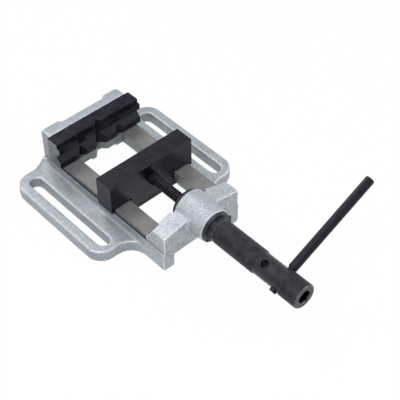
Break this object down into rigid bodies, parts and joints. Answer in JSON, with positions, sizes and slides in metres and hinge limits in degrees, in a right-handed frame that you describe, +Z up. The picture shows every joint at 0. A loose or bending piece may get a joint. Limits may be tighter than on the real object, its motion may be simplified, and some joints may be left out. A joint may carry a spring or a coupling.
{
  "type": "drill press machine vise",
  "caption": "Low drill-press vise with slotted ears, prism-grooved fixed jaw, sliding jaw on open rails, turning nut sleeve and plug-in lever.",
  "frame": {"origin": "on the underside, on the centre line, below the seat of the fixed jaw", "axes": "+X along the jaws to the operator's right, +Y from the operator towards the fixed jaw, +Z up"},
  "size_m": [0.214, 0.3374, 0.1025],
  "materials": {
    "cast_paint": "silver-grey hammered paint on rough casting, soft sheen",
    "black_steel": "blackened, fine ground lines, satin",
    "phosphate_steel": "matt phosphate coated",
    "blued_steel": "blued, semi-gloss",
    "zinc_steel": "plated, satin"
  },
  "bodies": {
    "base": {"base_casting": "cast_paint", "fixed_jaw": "black_steel", "fixed_jaw_screw_left": "black_steel", "fixed_jaw_screw_right": "black_steel", "fixed_jaw_washer_left": "zinc_steel", "fixed_jaw_washer_right": "zinc_steel", "thrust_washer": "phosphate_steel", "front_washer": "black_steel"},
    "jaw": {"movable_jaw": "black_steel", "jaw_keeper": "black_steel", "keeper_screw_1": "zinc_steel", "keeper_screw_2": "zinc_steel", "keeper_screw_3": "zinc_steel", "keeper_screw_4": "zinc_steel", "lead_screw": "black_steel", "screw_lock_pin": "zinc_steel"},
    "sleeve": {"nut_sleeve": "phosphate_steel", "retaining_ring": "black_steel"},
    "lever": {"lever_bar": "blued_steel"}
  },
  "joints": [
    {"name": "sleeve_turn", "type": "hinge", "parent": "base", "child": "sleeve", "pos_m": [0, -0.198, 0.043], "axis": [0, 1, 0], "range_deg": [-3240, 7200]},
    {"name": "jaw_slide", "type": "slide", "parent": "base", "child": "jaw", "axis": [0, 1, 0], "range_m": [-0.0275, 0.0605]},
    {"name": "lever_slide", "type": "slide", "parent": "sleeve", "child": "lever", "axis": [0.9026, 0, 0.4305], "range_m": [0, 0.029]}
  ],
  "couplings": [
    {"joint": "jaw_slide", "follows": "sleeve_turn", "m_per_rad": 0.00047746}
  ]
}
